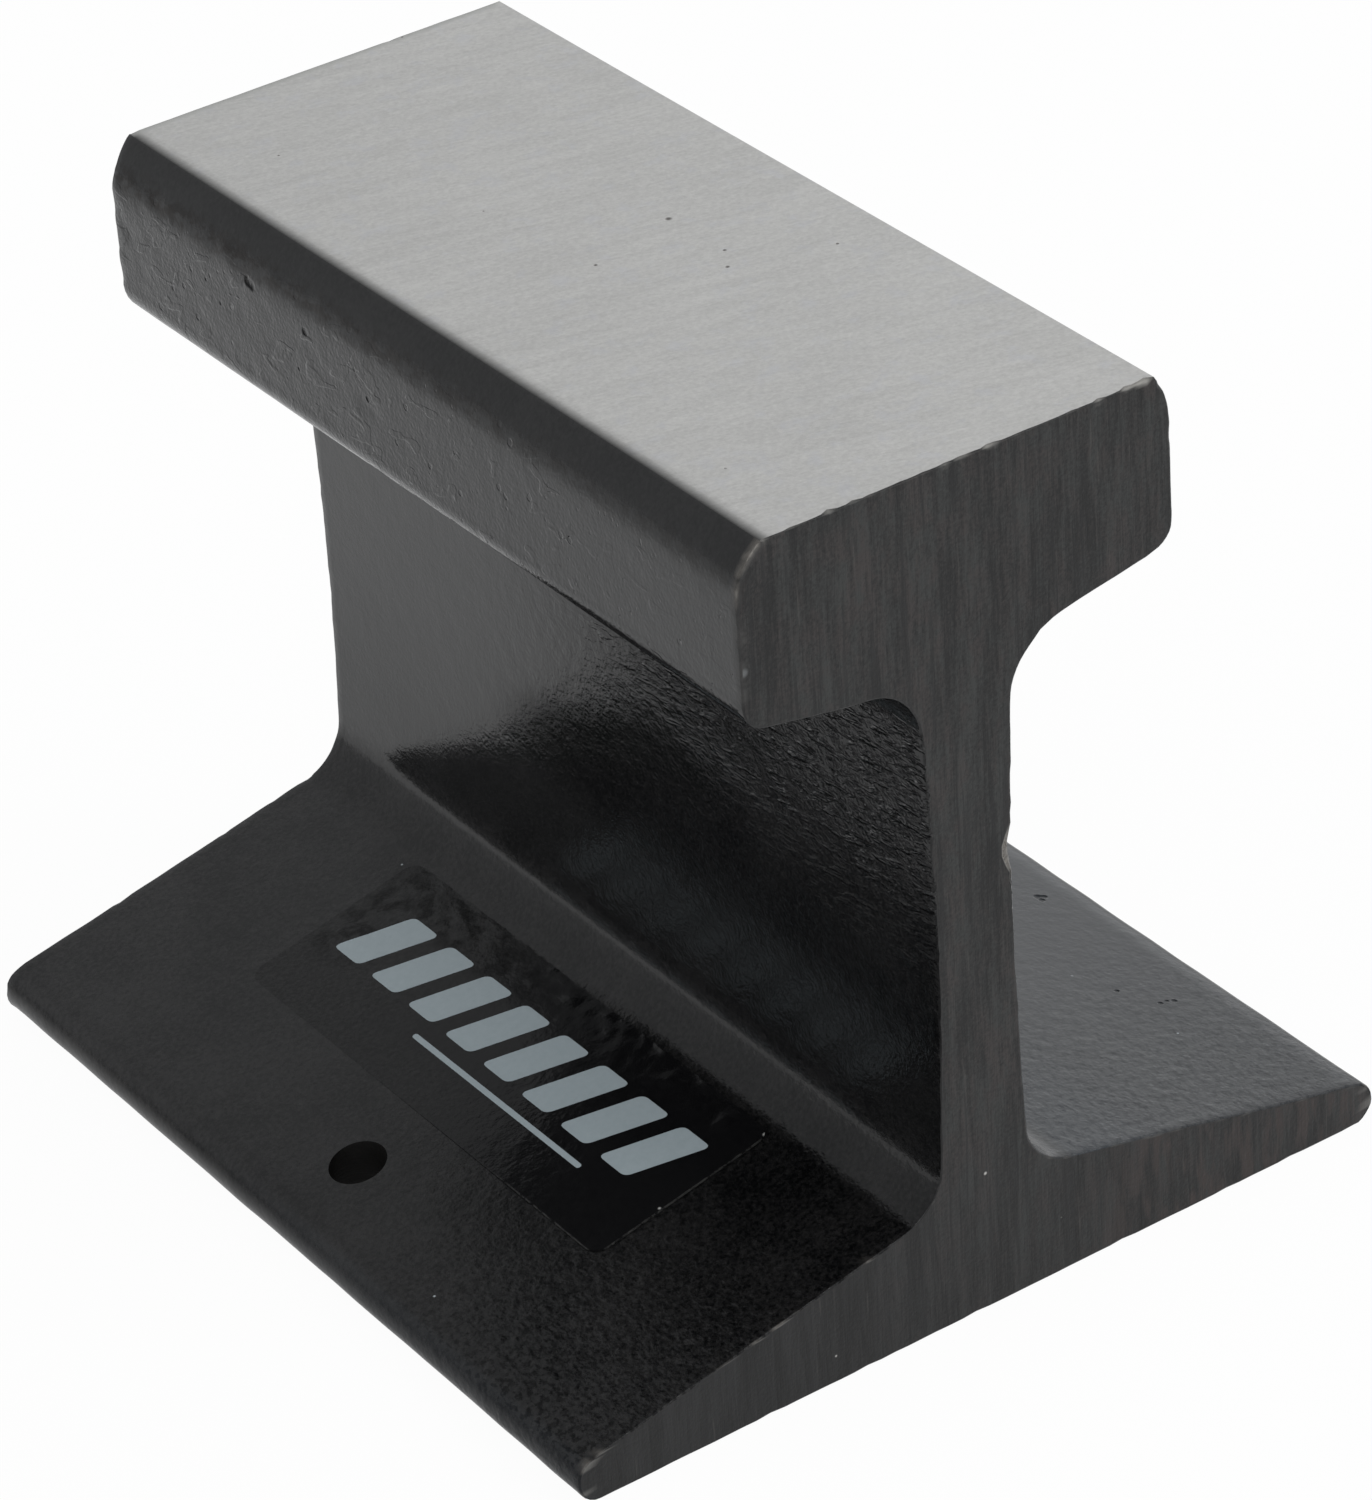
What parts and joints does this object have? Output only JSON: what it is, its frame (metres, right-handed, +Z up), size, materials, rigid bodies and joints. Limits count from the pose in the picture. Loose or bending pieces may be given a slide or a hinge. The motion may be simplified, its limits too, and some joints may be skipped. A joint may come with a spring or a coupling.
{
  "type": "rail anvil",
  "caption": "Small bench anvil cut from light flat-bottomed rail: sawn ends, black paint, bare ground top face, a drilled foot and a plain adhesive label.",
  "frame": {"origin": "middle of the underside of the foot, half-way between the sawn ends", "axes": "+Z up to the ground working face, +Y along the rail, +X across it away from the flange that carries the label"},
  "size_m": [0.0636, 0.0694, 0.0618],
  "materials": {
    "rail": "black gloss paint on rolled steel, with the top of the head ground bare",
    "label": "gloss black film"
  },
  "bodies": {
    "root": {"rail": "rail", "label": "label"}
  },
  "joints": []
}
